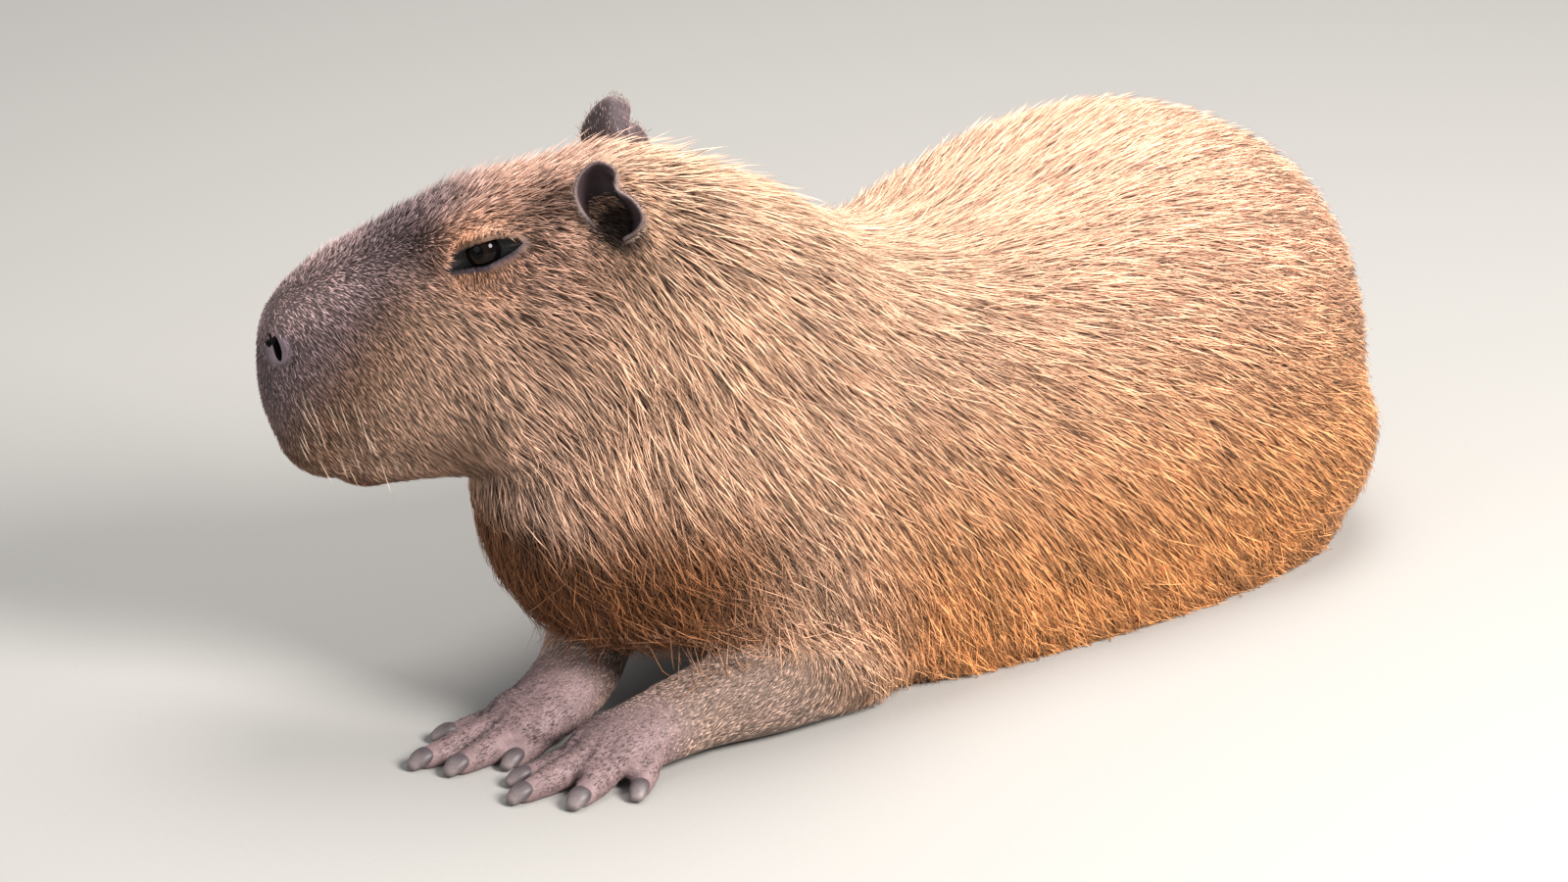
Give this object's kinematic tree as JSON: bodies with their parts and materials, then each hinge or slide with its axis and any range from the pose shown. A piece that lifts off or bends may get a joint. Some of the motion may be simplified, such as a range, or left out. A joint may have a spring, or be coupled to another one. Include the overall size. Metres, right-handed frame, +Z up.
{
  "type": "capybara figure",
  "caption": "Life-size capybara lying on its belly, forelegs stretched forward, head raised and turned, hips rolled to one side.",
  "frame": {"origin": "the point of the floor under the middle of the animal's bounding box", "axes": "+Z up, -X the way the trunk faces (towards the forefeet), -Y the animal's left side"},
  "size_m": [0.8958, 0.5316, 0.4117],
  "materials": {
    "coat": "coarse, bristly tan coat, browner on the head and golden on the chest",
    "leg_coat": "short purplish-brown hair, matt",
    "foot_skin": "wrinkled, nearly bare grey-brown skin, matt",
    "ear_skin": "thin, bare purple-grey skin, satin",
    "eye": "wet, near-black, glossy",
    "claw": "blunt dark horn, satin"
  },
  "bodies": {
    "root": {"torso": "coat", "head": "coat", "neck": "coat", "hindquarters": "coat", "forearm_left": "leg_coat", "forearm_right": "leg_coat", "shank_right": "leg_coat", "forefoot_left": "foot_skin", "forefoot_right": "foot_skin", "hindfoot_left": "foot_skin", "hindfoot_right": "foot_skin", "ear_left": "ear_skin", "ear_right": "ear_skin", "eye_left": "eye", "eye_right": "eye", "forefoot_left_claw_1": "claw", "forefoot_left_claw_2": "claw", "forefoot_left_claw_3": "claw", "forefoot_left_claw_4": "claw", "forefoot_right_claw_1": "claw", "forefoot_right_claw_2": "claw", "forefoot_right_claw_3": "claw", "forefoot_right_claw_4": "claw", "hindfoot_left_claw_1": "claw", "hindfoot_left_claw_2": "claw", "hindfoot_left_claw_3": "claw", "hindfoot_right_claw_1": "claw", "hindfoot_right_claw_2": "claw", "hindfoot_right_claw_3": "claw"}
  },
  "joints": []
}
